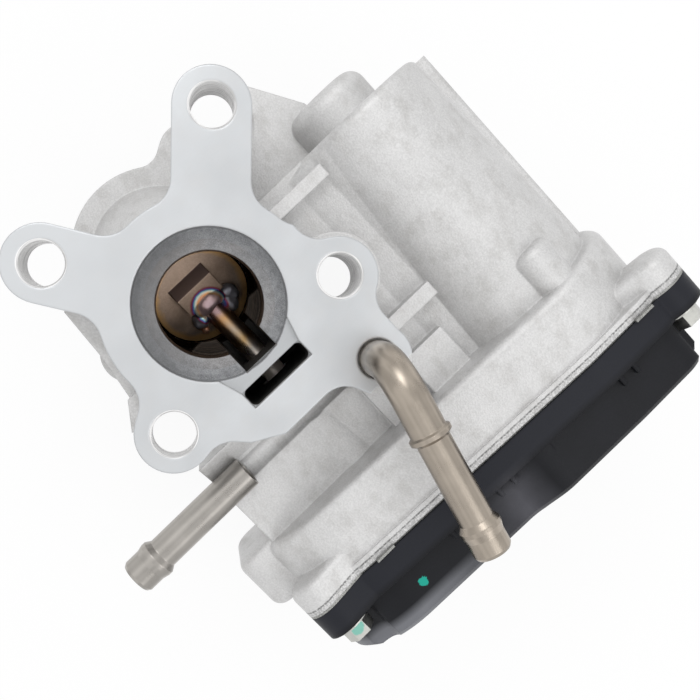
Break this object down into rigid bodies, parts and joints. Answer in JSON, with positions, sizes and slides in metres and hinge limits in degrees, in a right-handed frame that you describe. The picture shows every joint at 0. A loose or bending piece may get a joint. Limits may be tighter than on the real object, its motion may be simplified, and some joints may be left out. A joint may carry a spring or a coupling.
{
  "type": "egr valve",
  "caption": "Motor driven exhaust gas recirculation valve with a cast flange housing, tilted butterfly, gear case and coolant pipes.",
  "frame": {"origin": "centre of the gas port on the mounting face of the flange", "axes": "+Z out of the flange face; +X along the valve shaft towards the gear cover; +Y to the motor side"},
  "size_m": [0.1333, 0.1463, 0.0935],
  "materials": {
    "cast_aluminium": "fine sand cast, machined faces",
    "heat_steel": "heat tinted stainless steel",
    "weld_bead": "heat tinted weld",
    "bronze": "plain sintered bronze",
    "seal_rubber": "matt",
    "bearing_steel": "ground",
    "gear_plastic": "moulded",
    "bright_steel": "ground or drawn",
    "spring_steel": "drawn",
    "magnet": "sintered",
    "motor_steel": "zinc plated sheet",
    "core_steel": "stacked sheet",
    "copper": "enamelled or bare copper",
    "carbon": "pressed carbon",
    "pinion_brass": "cut",
    "cover_plastic": "fine moulded grain",
    "sensor_plastic": "moulded",
    "zinc_steel": "zinc plated",
    "pipe_steel": "satin drawn tube"
  },
  "bodies": {
    "housing": {"valve_housing": "cast_aluminium", "port_nozzle": "heat_steel", "shaft_bush": "bronze", "shaft_seal": "seal_rubber", "bearing_outer_race": "bearing_steel", "return_spring": "spring_steel", "gear_pin": "bright_steel", "motor_can": "motor_steel", "motor_magnets": "magnet", "motor_plate": "motor_steel", "motor_rear_bush": "bronze", "motor_front_bush": "bronze", "motor_screws": "zinc_steel", "motor_brushes": "carbon", "cover_gasket": "seal_rubber", "gear_cover": "cover_plastic", "cover_screws": "zinc_steel", "sensor_stem": "sensor_plastic", "connector_pins": "copper", "upper_coolant_pipe": "pipe_steel", "lower_coolant_pipe": "pipe_steel"},
    "valve": {"valve_shaft": "heat_steel", "valve_disc": "heat_steel", "disc_seal_ring": "heat_steel", "shaft_weld": "weld_bead", "sector_gear": "gear_plastic", "lever_plate": "bright_steel", "magnet_yokes": "bright_steel", "sensor_magnets": "magnet", "bearing_inner_race": "bearing_steel", "bearing_balls": "bearing_steel"},
    "intermediate": {"intermediate_gear": "gear_plastic"},
    "rotor": {"motor_shaft": "bright_steel", "armature_core": "core_steel", "armature_windings": "copper", "commutator": "copper", "motor_pinion": "pinion_brass"}
  },
  "joints": [
    {"name": "motor_turn", "type": "hinge", "parent": "housing", "child": "rotor", "pos_m": [0, 0.0583, -0.026], "axis": [1, 0, 0], "range_deg": [0, 1280]},
    {"name": "intermediate_turn", "type": "hinge", "parent": "housing", "child": "intermediate", "pos_m": [0, 0.02908, -0.03438], "axis": [1, 0, 0], "range_deg": [-240.1, 0]},
    {"name": "valve_turn", "type": "hinge", "parent": "housing", "child": "valve", "pos_m": [0, 0, -0.027], "axis": [1, 0, 0], "range_deg": [0, 60.05], "stiffness_Nm_per_rad": 0.05, "springref_deg": -28.65}
  ],
  "couplings": [
    {"joint": "intermediate_turn", "follows": "motor_turn", "ratio": -0.1875},
    {"joint": "valve_turn", "follows": "motor_turn", "ratio": 0.046875}
  ]
}
